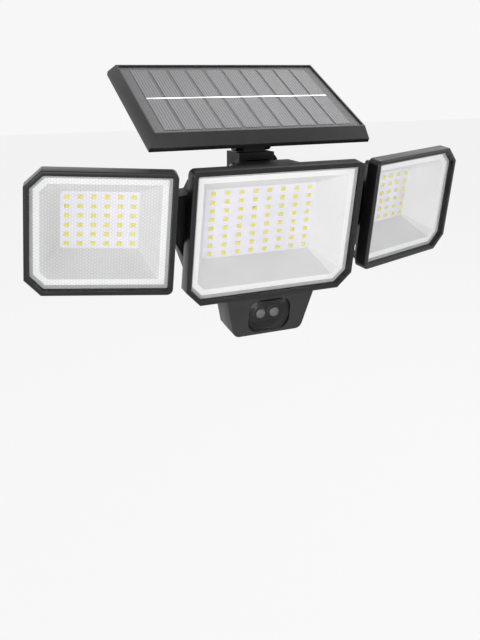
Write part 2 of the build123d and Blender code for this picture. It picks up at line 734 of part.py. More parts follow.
with BuildPart() as sensor_dome:
    with BuildSketch(CENTRE.offset(face_back)):
        with Locations((0, sensor_line)):
            RectangleRounded(DOME_W - 2 * FIT, DOME_H - 2 * FIT, DOME_ROUND - FIT)
    extrude(amount=SENSOR_FACE_T + 2 * DOME_PROUD)
    with Locations(dome_middle):
        Sphere(DOME_R, mode=Mode.INTERSECT)
    with BuildSketch(CENTRE.offset(face_back)):
        with Locations((0, sensor_line)):
            RectangleRounded(DOME_W + 2 * DOME_FLANGE, DOME_H - 2 * DOME_FLANGE, DOME_ROUND)
    extrude(amount=-DOME_FLANGE_T)
    add(dome_hollow.part, mode=Mode.SUBTRACT)
save("sensor_dome", sensor_dome)

with BuildPart() as motion_sensors:
    with BuildSketch(CENTRE.offset(-can_base)):
        with Locations((-CAN_SPACING / 2, sensor_line), (CAN_SPACING / 2, sensor_line)):
            Circle(CAN_R)
    extrude(amount=CAN_HEIGHT)
save("motion_sensors", motion_sensors)

with BuildPart() as sensor_board:
    with BuildSketch(CENTRE.offset(-can_base)):
        with Locations((0, sensor_line)):
            Rectangle(2 * (post_x + POST_R), 2 * (post_y + POST_R))
    extrude(amount=-BOARD_T)
save("sensor_board", sensor_board)

# board with the controller, its plug to the sensor board and the switch behind the mode button
with BuildPart() as control_board:
    with BuildSketch(CENTRE.offset(-CONTROL_DEPTH)):
        with Locations((0, sensor_line)):
            Rectangle(CONTROL_W, CONTROL_H)
    extrude(amount=-BOARD_T)
    with BuildSketch(CENTRE.offset(-CONTROL_DEPTH)):
        with Locations((0, sensor_line)):
            Rectangle(CONTROL_W / 4, POST_R)
    extrude(amount=CONTROL_DEPTH - can_base - BOARD_T)
    with BuildSketch(CENTRE.offset(-CONTROL_DEPTH)):
        with Locations((-CONTROL_W / 3, sensor_line), (CONTROL_W / 3, sensor_line)):
            Rectangle(CONTROL_W / 6, CONTROL_H / 3)
    extrude(amount=BOARD_T)
    with BuildSketch(CENTRE.offset(-CONTROL_DEPTH - BOARD_T)):
        with Locations((0, sensor_line)):
            Rectangle(SWITCH_SIZE, SWITCH_SIZE)
    extrude(amount=-SWITCH_HEIGHT)
save("control_board", control_board)

with BuildPart() as sensor_cover:
    add(sensor_block(0, SENSOR_FRONT, SENSOR_REAR))
    split(bisect_by=CENTRE.offset(-cover_face), keep=Keep.BOTTOM)
    with BuildSketch(CENTRE.offset(-cover_face)):
        with Locations((0, sensor_line)):
            with GridLocations(2 * (CONTROL_W / 2 - POST_R), 2 * post_y, 2, 2):
                Circle(POST_R)
    extrude(amount=cover_face - CONTROL_DEPTH - BOARD_T)
    with BuildSketch(CENTRE.offset(-cover_face)):
        with Locations((0, sensor_line)):
            Circle(BUTTON_R + RUN)
        with Locations((screw_x, screw_y), (-screw_x, screw_y)):
            Circle(SCREW_R)
    extrude(amount=-SENSOR_WALL, mode=Mode.SUBTRACT)
save("sensor_cover", sensor_cover)

with BuildPart() as sensor_cover_screws:
    with BuildSketch(CENTRE.offset(-SENSOR_REAR)):
        with Locations((screw_x, screw_y), (-screw_x, screw_y)):
            Circle(SCREW_R)
    extrude(amount=SCREW_LENGTH + SENSOR_WALL - GAP)
    with BuildSketch(CENTRE.offset(-SENSOR_REAR)):
        with Locations((screw_x, screw_y), (-screw_x, screw_y)):
            Circle(SCREW_HEAD_R)
    extrude(amount=-SCREW_HEAD_T)
save("sensor_cover_screws", sensor_cover_screws)

button_back = SENSOR_REAR + BUTTON_PROUD
with BuildPart() as mode_button:
    with BuildSketch(CENTRE.offset(-button_back)):
        with Locations((0, sensor_line)):
            Circle(BUTTON_R)
    extrude(amount=button_back - cover_face + BUTTON_FLANGE_T + 2 * FIT)
    with BuildSketch(CENTRE.offset(-cover_face + 2 * FIT)):
        with Locations((0, sensor_line)):
            Circle(BUTTON_R + BUTTON_FLANGE_W)
    extrude(amount=BUTTON_FLANGE_T)
    pressed_face = mode_button.faces().sort_by(Axis(CENTRE.origin, CENTRE.z_dir))[0]
    fillet(pressed_face.edges(), radius=BUTTON_EDGE)
save("mode_button", mode_button)

# grommet for the panel's lead, on the housing's rear wall
with BuildPart() as head_lead_gland:
    with BuildSketch(CENTRE.offset(-SHELL_DEPTH)):
        with Locations((GLAND_X, GLAND_Y)):
            Circle(GLAND_R)
            Circle(GLAND_HOLE_R, mode=Mode.SUBTRACT)
    extrude(amount=-GLAND_LENGTH)
save("head_lead_gland", head_lead_gland)

# ---- side heads ---------------------------------------------------------------------------------
wall_lean = atan(REFLECTOR_RUN / (BOARD_DEPTH - LENS_T - GASKET_T))


def shoulder(wall):
    """Cut that keeps the shell's inner side clear of the fork, or of its own wall."""
    reach = ARM_R + ARM_GAP + wall
    near_x = -hinge_inboard + reach * cos(wall_lean)
    near_depth = ARM_DEPTH - reach * sin(wall_lean)
    top = SHOULDER_DEPTH - wall
    low = SIDE_DEPTH + SHELL_WALL
    Polygon(
        (-SIDE_HALF_W - 2 * RIM, top),
        (near_x + (top - near_depth) * tan(wall_lean), top),
        (near_x + (low - near_depth) * tan(wall_lean), low),
        (-SIDE_HALF_W - 2 * RIM, low),
        align=None,
    )


with BuildPart(mode=Mode.PRIVATE) as side_hollow:
    add(shell_blank(side_lamp, SIDE_DEPTH, SIDE_REAR_INSET, SHELL_WALL))
    with BuildSketch(SIDE_FLOOR):
        shoulder(SHELL_WALL)
    extrude(amount=2 * SIDE_HALF_H, both=True, mode=Mode.SUBTRACT)

knuckle_low = FORK_LOW + 2 * FIT - HEAD_RAISE
knuckle_height = FORK_TOP - FORK_LOW - 4 * FIT
with BuildPart() as side_shell:
    add(shell_blank(side_lamp, SIDE_DEPTH, SIDE_REAR_INSET, 0))
    with BuildSketch(SIDE_FLOOR):
        shoulder(0)
    extrude(amount=2 * SIDE_HALF_H, both=True, mode=Mode.SUBTRACT)
    with BuildSketch(SIDE_FLOOR.offset(knuckle_low)):
        with Locations((-hinge_inboard, ARM_DEPTH)):
            Circle(ARM_R)
            Rectangle(2 * ARM_R, WEB_T, align=(Align.MIN, Align.CENTER))
    extrude(amount=knuckle_height)
    add(side_hollow.part, mode=Mode.SUBTRACT)
    add(screw_columns(side_lamp, SIDE_DEPTH, SIDE_REAR_INSET))
    with BuildSketch(SIDE.offset(-BEZEL_DEPTH)):
        boss_circles(side_lamp, SCREW_R)
    extrude(amount=-SHELL_BOSS_DEPTH, mode=Mode.SUBTRACT)
    with BuildSketch(SIDE.offset(-BEZEL_DEPTH - SHELL_BOSS_DEPTH)):
        boss_circles(side_lamp, WELL_R)
    extrude(amount=-SIDE_DEPTH, mode=Mode.SUBTRACT)
    with BuildSketch(SIDE_FLOOR.offset(knuckle_low)):
        with Locations((-hinge_inboard, ARM_DEPTH)):
            Circle(PIN_R + RUN)
    extrude(amount=knuckle_height, mode=Mode.SUBTRACT)
save_both("shell", side_shell)

side_makers = {
    "bezel": make_bezel,
    "lens": make_lens,
    "gasket": make_gasket,
    "reflector": make_reflector,
    "led_board": make_board,
    "leds": make_leds,
    "case_screws": make_case_screws,
}
for name, make in side_makers.items():
    save_both(name, make(side_lamp))

with BuildPart() as hinge_pin:
    with BuildSketch(CENTRE_FLOOR.offset(ARM_LOW)):
        with Locations((arm_x, ARM_DEPTH)):
            Circle(PIN_R)
    extrude(amount=ARM_TOP - ARM_LOW)
    with BuildSketch(CENTRE_FLOOR.offset(ARM_LOW), CENTRE_FLOOR.offset(ARM_TOP + PIN_HEAD_T)):
        with Locations((arm_x, ARM_DEPTH)):
            Circle(PIN_HEAD_R)
    extrude(amount=-PIN_HEAD_T)
save_both("hinge_pin", hinge_pin)

# ---- wall bracket -------------------------------------------------------------------------------
neck_top = PANEL_LIFT - PANEL_HUB_R - GAP
arm_bottom = tilt_axis.Z - ARM_DROP - ARM_HEIGHT
slot_half_w = TONGUE_HALF_W + 2 * FIT
slot_r = KNUCKLE_R + GAP

with BuildPart() as wall_bracket:
    with BuildSketch(Plane.XZ):
        RectangleRounded(PLATE_W, PLATE_H, PLATE_ROUND)
    extrude(amount=PLATE_T)
    # arm with two ribs under it
    with BuildSketch(Plane.YZ.offset(-ARM_HALF_W)):
        Polygon(
            (-PLATE_T, arm_bottom),
            (-PLATE_T, arm_bottom + ARM_HEIGHT),
            (tilt_axis.Y + NECK_BACK, arm_bottom + ARM_HEIGHT),
            (tilt_axis.Y + NECK_BACK, arm_bottom),
            align=None,
        )
    extrude(amount=2 * ARM_HALF_W)
    with BuildSketch(Plane.YZ.offset(-ARM_HALF_W), Plane.YZ.offset(ARM_HALF_W - RIB_T)):
        Polygon(
            (-PLATE_T, arm_bottom),
            (-PLATE_T - RIB_REACH, arm_bottom),
            (-PLATE_T, arm_bottom - RIB_DROP),
            align=None,
        )
    extrude(amount=RIB_T)
    # forked neck, cut back below so that the head can look down
    with BuildSketch(TILT_SIDE):
        Polygon(
            (NECK_BACK, -ARM_DROP - ARM_HEIGHT),
            (KNUCKLE_R, -ARM_DROP - ARM_HEIGHT),
            (-KNUCKLE_R / 2, -ARM_DROP),
            (-NECK_FRONT, NECK_CHIN - KNUCKLE_R),
            (-NECK_FRONT, neck_top),
            (NECK_BACK, neck_top),
            align=None,
        )
    extrude(amount=NECK_HALF_W, both=True)
    with BuildSketch(TILT_SIDE.offset(NECK_HALF_W)):
        Circle(NUT_BOSS_R)
    extrude(amount=NUT_BOSS_T)
    with BuildSketch(HUB_SIDE):
        Circle(PANEL_HUB_R)
        Rectangle(2 * PANEL_HUB_R, PANEL_HUB_R + GAP, align=(Align.CENTER, Align.MAX))
    extrude(amount=PANEL_TONGUE_HALF_W, both=True)
    # slot for the head's tongue
    with BuildSketch(TILT_SIDE):
        Circle(slot_r)
        Polygon(
            (slot_r, 0),
            (slot_r, -ARM_DROP - ARM_HEIGHT),
            (-2 * slot_r, -ARM_DROP - ARM_HEIGHT),
            (-2 * slot_r, slot_r),
            (0, slot_r),
            (0, 0),
            align=None,
        )
    extrude(amount=slot_half_w, both=True, mode=Mode.SUBTRACT)
    with BuildSketch(TILT_SIDE):
        Circle(TILT_BOLT_R + RUN)
    extrude(amount=NECK_HALF_W + NUT_BOSS_T, both=True, mode=Mode.SUBTRACT)
    with BuildSketch(HUB_SIDE):
        Circle(PANEL_BOLT_R + RUN)
    extrude(amount=PANEL_TONGUE_HALF_W, both=True, mode=Mode.SUBTRACT)
    with BuildSketch(Plane.XZ):
        with Locations((0, WALL_HOLE_CENTRE)):
            with GridLocations(1, WALL_HOLE_SPACING, 1, 2):
                Circle(WALL_HOLE_R)
    extrude(amount=PLATE_T, mode=Mode.SUBTRACT)
save("wall_bracket", wall_bracket)


def make_bolt(plane, radius, left, right, head_r, head_t):
    """Round-headed bolt along X, from left to right of the centre line."""
    with BuildPart() as bolt:
        with BuildSketch(plane.offset(-left)):
            Circle(radius)
        extrude(amount=left + right)
        with BuildSketch(plane.offset(-left)):
            Circle(head_r)
        extrude(amount=-head_t)
        fillet(bolt.faces().sort_by(Axis.X)[0].edges(), radius=head_t / 3)
    return bolt


def make_nut(plane, radius, seat_x, thickness):
    """Hexagon nut on a bolt along X."""
    with BuildPart() as nut:
        with BuildSketch(plane.offset(seat_x)):
            RegularPolygon(radius * NUT_RATIO, 6)
            Circle(radius, mode=Mode.SUBTRACT)
        extrude(amount=thickness)
    return nut


tilt_nut_seat = NECK_HALF_W + NUT_BOSS_T
save("tilt_bolt", make_bolt(
    TILT_SIDE, TILT_BOLT_R, NECK_HALF_W, tilt_nut_seat + NUT_T + BOLT_END, BOLT_HEAD_R, BOLT_HEAD_T
))
save("tilt_nut", make_nut(TILT_SIDE, TILT_BOLT_R, tilt_nut_seat, NUT_T))
save("panel_bolt", make_bolt(
    HUB_SIDE, PANEL_BOLT_R, NECK_HALF_W, NECK_HALF_W + NUT_T + BOLT_END, BOLT_HEAD_R, BOLT_HEAD_T
))
save("panel_nut", make_nut(HUB_SIDE, PANEL_BOLT_R, NECK_HALF_W, NUT_T))

# ---- solar panel --------------------------------------------------------------------------------
cells_top = COVER_SHEET_T + BUSBAR_T
backing_top = cells_top + CELL_SHEET_T
sheet_back = backing_top + BACKING_T
open_w = SHEET_W - 2 * TRAY_LEDGE
open_h = SHEET_H - 2 * TRAY_LEDGE
tray_w = SHEET_W + 2 * TRAY_FLARE_X
tray_h = SHEET_H + 2 * TRAY_FLARE_Y
back_w = tray_w - 2 * BACK_COVER_MARGIN
back_h = tray_h - 2 * BACK_COVER_MARGIN
cells_w = SHEET_W - 2 * CELL_MARGIN_X
cells_h = SHEET_H - 2 * CELL_MARGIN_Y
cell_count = round((cells_w + CELL_GAP) / (CELL_W + CELL_GAP))
cell_pitch = (cells_w + CELL_GAP) / cell_count
panel_screw_grid = ((open_w + back_w) / 6, (open_h + back_h) / 2, 4, 2)
panel_gland_y = SHEET_H / 2 - PANEL_GLAND_INSET

with BuildPart() as panel_tray:
    with BuildSketch(PANEL.offset(-BEVEL_DEPTH)):
        Rectangle(tray_w, tray_h)
    with BuildSketch(PANEL.offset(TRAY_LIP)):
        Rectangle(SHEET_W + 2 * TRAY_RIM, SHEET_H + 2 * TRAY_RIM)
    loft()
    with BuildSketch(PANEL.offset(-TRAY_DEPTH)):
        Rectangle(tray_w, tray_h)
    extrude(amount=TRAY_DEPTH - BEVEL_DEPTH)
    with BuildSketch(PANEL.offset(TRAY_LIP)):
        Rectangle(SHEET_W + 2 * FIT, SHEET_H + 2 * FIT)
    extrude(amount=-TRAY_LIP - sheet_back, mode=Mode.SUBTRACT)
    with BuildSketch(PANEL):
        Rectangle(open_w, open_h)
    extrude(amount=-TRAY_DEPTH, mode=Mode.SUBTRACT)
    with BuildSketch(PANEL.offset(-TRAY_DEPTH)):
        Rectangle(back_w, back_h)
    extrude(amount=BACK_COVER_T, mode=Mode.SUBTRACT)
    with BuildSketch(PANEL.offset(-TRAY_DEPTH)):
        with GridLocations(*panel_screw_grid):
            Circle(PANEL_SCREW_R)
    extrude(amount=PANEL_SCREW_LENGTH, mode=Mode.SUBTRACT)
save("panel_tray", panel_tray)

with BuildPart() as panel_cover_sheet:
    with BuildSketch(PANEL):
        Rectangle(SHEET_W, SHEET_H)
    extrude(amount=-COVER_SHEET_T)
save("panel_cover_sheet", panel_cover_sheet)

with BuildPart() as panel_busbar:
    with BuildSketch(PANEL.offset(-COVER_SHEET_T)):
        Rectangle(cells_w, BUSBAR_W)
    extrude(amount=-BUSBAR_T)
save("panel_busbar", panel_busbar)

with BuildPart() as panel_cells:
    with BuildSketch(PANEL.offset(-cells_top)):
        with GridLocations(cell_pitch, 1, cell_count, 1):
            Rectangle(cell_pitch - CELL_GAP, cells_h)
    extrude(amount=-CELL_SHEET_T)
save("panel_cells", panel_cells)

with BuildPart() as panel_backing:
    with BuildSketch(PANEL.offset(-backing_top)):
        Rectangle(SHEET_W, SHEET_H)
    extrude(amount=-BACKING_T)
save("panel_backing", panel_backing)

bracket_middle = -PANEL_HINGE_AHEAD + (BRACKET_BEHIND - BRACKET_AHEAD) / 2
bracket_length = BRACKET_AHEAD + BRACKET_BEHIND
bracket_grid = (
    2 * (BRACKET_HALF_W - BRACKET_SCREW_INSET),
    bracket_length - 2 * BRACKET_SCREW_INSET,
    2,
    2,
)
with BuildPart() as panel_back_cover:
    with BuildSketch(PANEL.offset(-TRAY_DEPTH)):
        Rectangle(back_w - 2 * FIT, back_h - 2 * FIT)
        with GridLocations(*panel_screw_grid):
            Circle(PANEL_SCREW_R, mode=Mode.SUBTRACT)
        with Locations((0, bracket_middle)):
            with GridLocations(*bracket_grid):
                Circle(PANEL_SCREW_R, mode=Mode.SUBTRACT)
        with Locations((0, panel_gland_y)):
            Circle(GLAND_HOLE_R, mode=Mode.SUBTRACT)
    extrude(amount=BACK_COVER_T)
save("panel_back_cover", panel_back_cover)


def make_panel_screws(centre_y, grid, head_depth, length):
    """Pan-head screws driven up into the panel's back."""
    with BuildPart() as screws:
        with BuildSketch(PANEL.offset(-head_depth)):
            with Locations((0, centre_y)):
                with GridLocations(*grid):
                    Circle(PANEL_SCREW_R)
        extrude(amount=length)
        with BuildSketch(PANEL.offset(-head_depth)):
            with Locations((0, centre_y)):
                with GridLocations(*grid):
                    Circle(PANEL_SCREW_HEAD_R)
        extrude(amount=-PANEL_SCREW_HEAD_T)
    return screws


save("panel_back_screws", make_panel_screws(0, panel_screw_grid, TRAY_DEPTH, PANEL_SCREW_LENGTH))
save("panel_bracket_screws", make_panel_screws(
    bracket_middle, bracket_grid, TRAY_DEPTH + BRACKET_T, BRACKET_T + BACK_COVER_T
))

ear_inner = PANEL_TONGUE_HALF_W + 2 * FIT
with BuildPart() as panel_bracket:
    with BuildSketch(PANEL.offset(-TRAY_DEPTH)):
        with Locations((0, bracket_middle)):
            RectangleRounded(2 * BRACKET_HALF_W, bracket_length, BRACKET_T)
            with GridLocations(*bracket_grid):
                Circle(PANEL_SCREW_R, mode=Mode.SUBTRACT)
    extrude(amount=-BRACKET_T)
    with BuildSketch(PANEL_SIDE.offset(ear_inner), PANEL_SIDE.offset(-NECK_HALF_W)):
        Circle(PANEL_HUB_R)
        Rectangle(2 * PANEL_HUB_R, PANEL_HUB_R + GAP, align=(Align.CENTER, Align.MIN))
        Circle(PANEL_BOLT_R + RUN, mode=Mode.SUBTRACT)
    extrude(amount=NECK_HALF_W - ear_inner)
save("panel_bracket", panel_bracket)

with BuildPart() as panel_lead_gland:
    with BuildSketch(PANEL.offset(-TRAY_DEPTH)):
        with Locations((0, panel_gland_y)):
            Circle(GLAND_R)
            Circle(GLAND_HOLE_R, mode=Mode.SUBTRACT)
    extrude(amount=-GLAND_LENGTH)
save("panel_lead_gland", panel_lead_gland)
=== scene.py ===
import bmesh
import bpy
import json
import math
from mathutils import Matrix, Vector


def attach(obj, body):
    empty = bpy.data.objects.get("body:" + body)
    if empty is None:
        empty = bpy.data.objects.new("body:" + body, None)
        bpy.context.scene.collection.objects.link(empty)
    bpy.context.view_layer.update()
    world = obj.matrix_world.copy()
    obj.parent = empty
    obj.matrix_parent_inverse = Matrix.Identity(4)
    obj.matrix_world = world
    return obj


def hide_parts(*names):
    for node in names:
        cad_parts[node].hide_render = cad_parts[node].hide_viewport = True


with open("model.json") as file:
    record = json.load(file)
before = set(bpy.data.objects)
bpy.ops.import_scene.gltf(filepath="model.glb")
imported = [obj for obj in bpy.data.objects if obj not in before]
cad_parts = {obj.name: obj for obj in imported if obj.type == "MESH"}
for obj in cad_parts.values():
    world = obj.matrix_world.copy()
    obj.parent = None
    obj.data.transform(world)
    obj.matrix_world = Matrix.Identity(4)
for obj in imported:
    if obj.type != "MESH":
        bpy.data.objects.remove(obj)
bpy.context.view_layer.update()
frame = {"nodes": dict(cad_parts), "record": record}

# ---- Wall bracket -------------------------------------------------------------------------------
# The plate, its arm and the forked neck are one moulding in black ABS with a fine spark-eroded
# grain. The grain breaks up highlights, so the plastic reads as satin and not as paint.
MM_PER_M = 1000
MERGE = 0.000005                # metres: corners of a node that lie closer than this are one
HOUSING_EDGE = 0.0005           # metres: how far the mould rounds a housing's corners


def linear(hex_colour):
    """sRGB hex to linear RGBA."""
    parts = [int(hex_colour[i:i + 2], 16) / 255 for i in (1, 3, 5)]
    return [c / 12.92 if c <= 0.04045 else ((c + 0.055) / 1.055) ** 2.4 for c in parts] + [1.0]


def node(tree, kind, settings=None, inputs=None, links=None):
    """Add a node, set its properties and sockets, and link (node, output) pairs to its inputs."""
    made = tree.nodes.new(kind)
    for key, value in (settings or {}).items():
        setattr(made, key, value)
    for key, value in (inputs or {}).items():
        made.inputs[key].default_value = value
    for key, (source, output) in (links or {}).items():
        tree.links.new(source.outputs[output], made.inputs[key])
    return made


def blank(name):
    """A new material, with its node tree and its shader."""
    material = bpy.data.materials.new(name)
    material.use_nodes = True
    return material, material.node_tree, material.node_tree.nodes["Principled BSDF"]


def grained(name, dark, light, roughness, grain_mm, depth, patch_mm=9.0, shine=0.5, metallic=0.0):
    """A finish of two close tones in soft patches, with a fine grain of a depth in metres."""
    material, tree, shader = blank(name)
    shader.inputs["Roughness"].default_value = roughness
    shader.inputs["Metallic"].default_value = metallic
    shader.inputs["IOR"].default_value = 1.5        # as for most plastics, and the default
    shader.inputs["Specular IOR Level"].default_value = shine
    place = node(tree, "ShaderNodeTexCoord")
    patch = node(tree, "ShaderNodeTexNoise", None, {"Scale": MM_PER_M / patch_mm, "Detail": 3.0},
                 {"Vector": (place, "Object")})
    tone = node(tree, "ShaderNodeValToRGB", None, None, {"Fac": (patch, "Fac")})
    tone.color_ramp.elements[0].position = 0.35
    tone.color_ramp.elements[1].position = 0.65
    tone.color_ramp.elements[0].color = linear(dark)
    tone.color_ramp.elements[1].color = linear(light)
    grain = node(tree, "ShaderNodeTexNoise", None, {"Scale": MM_PER_M / grain_mm, "Detail": 2.0},
                 {"Vector": (place, "Object")})
    bump = node(tree, "ShaderNodeBump", None, {"Strength": 0.25, "Distance": depth},
                {"Height": (grain, "Fac")})
    tree.links.new(tone.outputs["Color"], shader.inputs["Base Color"])
    tree.links.new(bump.outputs["Normal"], shader.inputs["Normal"])
    return material


def dress(piece, *materials):
    """Give a node, by its name, or a finished piece its materials, in the order of its slots."""
    slots = (frame["nodes"][piece] if isinstance(piece, str) else piece).data.materials
    slots.clear()
    for material in materials:
        slots.append(material)


def stands_for(piece, name):
    """Put a finished piece in a node's place, on that node's body."""
    bodies = frame["record"]["behaviour"]["bodies"]
    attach(piece, next(body for body, nodes in bodies.items() if name in nodes))
    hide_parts(name)


def alone(piece):
    """Deselect everything, then select one object and make it active."""
    bpy.ops.object.select_all(action="DESELECT")
    piece.select_set(True)
    bpy.context.view_layer.objects.active = piece


def moulding(name, suffix):
    """A merged copy of a node to work on, its faces within half a degree made one."""
    copy = bpy.data.objects.new(name + suffix, frame["nodes"][name].data.copy())
    bpy.context.collection.objects.link(copy)
    alone(copy)
    bpy.ops.object.mode_set(mode="EDIT")
    bpy.ops.mesh.select_all(action="SELECT")
    bpy.ops.mesh.remove_doubles(threshold=MERGE)
    bpy.ops.mesh.dissolve_limited(angle_limit=math.radians(0.5))
    bpy.ops.mesh.select_all(action="DESELECT")
    bpy.ops.object.mode_set(mode="OBJECT")
    return copy


def eased(name, radius, angle=30.0):
    """A finished copy of a node: corners sharper than an angle are rounded, as by its mould."""
    copy = moulding(name, "_moulded")
    soften = copy.modifiers.new("soften", "BEVEL")
    soften.width = radius
    soften.segments = 2
    soften.limit_method = "ANGLE"
    soften.angle_limit = math.radians(angle)
    bpy.ops.object.modifier_apply(modifier="soften")
    bpy.ops.object.shade_smooth_by_angle(angle=math.radians(25))
    stands_for(copy, name)
    return copy


# black ABS, spark-eroded mould: a grain of 0.6 mm, a little coarser than the real one so that it
# shows, which scatters most of the gloss. Its darker tone and weaker shine than the satin ABS are
# painted shade, which leaves the arms, neck and shells deep black, as in the shadow under the
# panel
black_abs_painted_shade = grained("black_abs_painted_shade", "#0c0c0d", "#121214", roughness=0.48, grain_mm=0.6,
                      depth=0.00008, shine=0.28)
dress(eased("wall_bracket", HOUSING_EDGE), black_abs_painted_shade)

# ---- Rear housings ------------------------------------------------------------------------------
# The centre housing carries the side arms, battery bay and hinge tongue. Each side head has its
# own shell with a knuckle. All are the same black ABS as the bracket, screwed to their bezels.
for name in ("rear_housing", "left_shell", "right_shell"):
    dress(eased(name, HOUSING_EDGE), black_abs_painted_shade)

# ---- Bezels -------------------------------------------------------------------------------------
# Each lamp's front frame is black ABS from a polished mould, so its proud rim carries a brighter
# line of light than the shells behind it.
RIM_EDGE = 0.0004               # metres
polished_abs = grained("polished_abs", "#0e0e0f", "#131314", roughness=0.28, grain_mm=1.2,
                       depth=0.00003, shine=0.4)
for name in ("centre_bezel", "left_bezel", "right_bezel"):
    dress(eased(name, RIM_EDGE), polished_abs)

# ---- Lenses -------------------------------------------------------------------------------------
# Clear polycarbonate covers, moulded with columns of tiny staggered pillows on the inside. Each
# pillow's edge bends the light away, so the relief shows as a faint grey net over the chamber.
TILT, YAW = math.radians(10.4), math.radians(15.0)      # all lamps down, the side heads outward


def facing(head):
    """The rightward, upward and forward directions of a lamp's front."""
    turn = {"left": -YAW, "centre": 0.0, "right": YAW}[head]
    ahead = Vector((0, -math.cos(TILT), -math.sin(TILT)))
    across = Vector((1, 0, 0))
    return (
        across * math.cos(turn) - ahead * math.sin(turn),
        Vector((0, -math.sin(TILT), math.cos(TILT))),
        across * math.sin(turn) + ahead * math.cos(turn),
    )


def laid_on(tree, directions):
    """Object coordinates turned so that X and Y lie in a flat piece's own plane."""
    place = node(tree, "ShaderNodeTexCoord")
    return node(tree, "ShaderNodeMapping", None, {"Rotation": Matrix(directions).to_euler()},
                {"Vector": (place, "Object")})


def relief_sheet(name, directions, wide_mm, high_mm, clear, net):
    """Clear sheet with staggered columns of relief on its inside, seen as a faint grey net."""
    material, tree, shader = blank(name + "_polycarbonate")
    shader.inputs["Base Color"].default_value = linear("#96989a")
    shader.inputs["Roughness"].default_value = 0.15
    shader.inputs["IOR"].default_value = 1.585
    flat = node(tree, "ShaderNodeSeparateXYZ", None, None,
                {"Vector": (laid_on(tree, directions), "Vector")})
    # pillow tops stand where cos 2u + 2 cos u cos v peaks at 3; it is lowest, -1.5, between them
    u = node(tree, "ShaderNodeMath", {"operation": "MULTIPLY"}, {1: MM_PER_M * math.pi / wide_mm},
             {0: (flat, "X")})
    v = node(tree, "ShaderNodeMath", {"operation": "MULTIPLY"},
             {1: 2 * MM_PER_M * math.pi / high_mm}, {0: (flat, "Y")})
    twice = node(tree, "ShaderNodeMath", {"operation": "MULTIPLY"}, {1: 2.0}, {0: (u, "Value")})
    along = node(tree, "ShaderNodeMath", {"operation": "COSINE"}, None, {0: (twice, "Value")})
    wave_u = node(tree, "ShaderNodeMath", {"operation": "COSINE"}, None, {0: (u, "Value")})
    wave_v = node(tree, "ShaderNodeMath", {"operation": "COSINE"}, None, {0: (v, "Value")})
    cross = node(tree, "ShaderNodeMath", {"operation": "MULTIPLY"}, None,
                 {0: (wave_u, "Value"), 1: (wave_v, "Value")})
    height = node(tree, "ShaderNodeMath", {"operation": "MULTIPLY_ADD"}, {1: 2.0},
                  {0: (cross, "Value"), 2: (along, "Value")})
    spread = node(tree, "ShaderNodeMapRange", None,
                  {"From Min": 3.0, "From Max": -1.5, "To Min": 0.0, "To Max": net},
                  {"Value": (height, "Value")})
    # the outer face is smooth: only what lies behind the middle of the sheet carries the relief
    depths = [directions[2].dot(vertex.co) for vertex in frame["nodes"][name].data.vertices]
    inner = node(tree, "ShaderNodeMath", {"operation": "LESS_THAN"},
                 {1: (min(depths) + max(depths)) / 2}, {0: (flat, "Z")})
    cover = node(tree, "ShaderNodeMath", {"operation": "MULTIPLY_ADD"}, {2: clear},
                 {0: (spread, "Result"), 1: (inner, "Value")})
    tree.links.new(cover.outputs["Value"], shader.inputs["Alpha"])
    return material


# columns 1.84 mm apart with a pillow every 2.24 mm, as coarse as the net needs to be to show; it
# reads strongest on the left lamp, which is the nearest and the most squarely seen
for head, net in (("centre", 0.025), ("left", 0.115), ("right", 0.05)):
    dress(head + "_lens", relief_sheet(head + "_lens", facing(head), wide_mm=1.84, high_mm=2.24,
                                       clear=0.006, net=net))

# ---- Gaskets ------------------------------------------------------------------------------------
# Translucent silicone rings under the lenses; through the clear edge they read as a grey band.
# Each has rounded edges and lies a hair clear of the lens that presses on it.
GASKET_EDGE = 0.00012           # metres
GASKET_GAP = 0.00004            # metres between a gasket's face and its lens


def set_back(piece, way):
    """Move a finished piece's surface a small way back from what lies on it."""
    alone(piece)
    bpy.ops.object.mode_set(mode="EDIT")
    bpy.ops.mesh.select_all(action="SELECT")
    bpy.ops.transform.translate(value=way)
    bpy.ops.object.mode_set(mode="OBJECT")
    return piece


silicone = grained("silicone", "#b8b9ba", "#c0c1c2", roughness=0.6, grain_mm=0.8, depth=0.00004)
for head in ("centre", "left", "right"):
    gasket = eased(head + "_gasket", GASKET_EDGE)
    dress(set_back(gasket, -GASKET_GAP * facing(head)[2]), silicone)
dress("battery_seal", silicone)

# ---- Reflectors ---------------------------------------------------------------------------------
# White high-gloss ABS trays. The flange is left bare and bright round each window. The sloped
# walls carry a finer, slightly greyer copy of the same white, which is painted shade, and they
# fall darker towards the board.
TRAY_EDGE = 0.0004              # metres
FACES_AHEAD = 0.9               # least part of a front face's normal that points forward
FLANGE_DEPTH = 0.0006           # metres: front faces this near the foremost are the flange
# painted shade on the walls: a greyer copy of the flange's white
wall_white_painted_shade = grained("wall_white_painted_shade", "#e5e5e6", "#eaeaeb", roughness=0.35, grain_mm=2.0,
                    depth=0.00002, patch_mm=30.0)
flange_white = grained("flange_white", "#fafafa", "#fdfdfd", roughness=0.3, grain_mm=2.0,
                       depth=0.00001, patch_mm=30.0)
for head in ("centre", "left", "right"):
    tray = eased(head + "_reflector", TRAY_EDGE)
    dress(tray, wall_white_painted_shade, flange_white)
    forward = facing(head)[2]
    front = max(forward.dot(vertex.co) for vertex in tray.data.vertices)
    for face in tray.data.polygons:
        level = face.normal.dot(forward) > FACES_AHEAD
        near = forward.dot(face.center) > front - FLANGE_DEPTH
        face.material_index = 1 if level and near else 0

# ---- LED boards ---------------------------------------------------------------------------------
# Aluminium-backed boards under white solder mask, which is a little cooler and pinker than the
# reflector round it.
solder_mask = grained("solder_mask", "#ebe9f1", "#f0eef6", roughness=0.45, grain_mm=0.9,
                      depth=0.00002, patch_mm=14.0)
for name in ("centre_led_board", "left_led_board", "right_led_board"):
    dress(name, solder_mask)

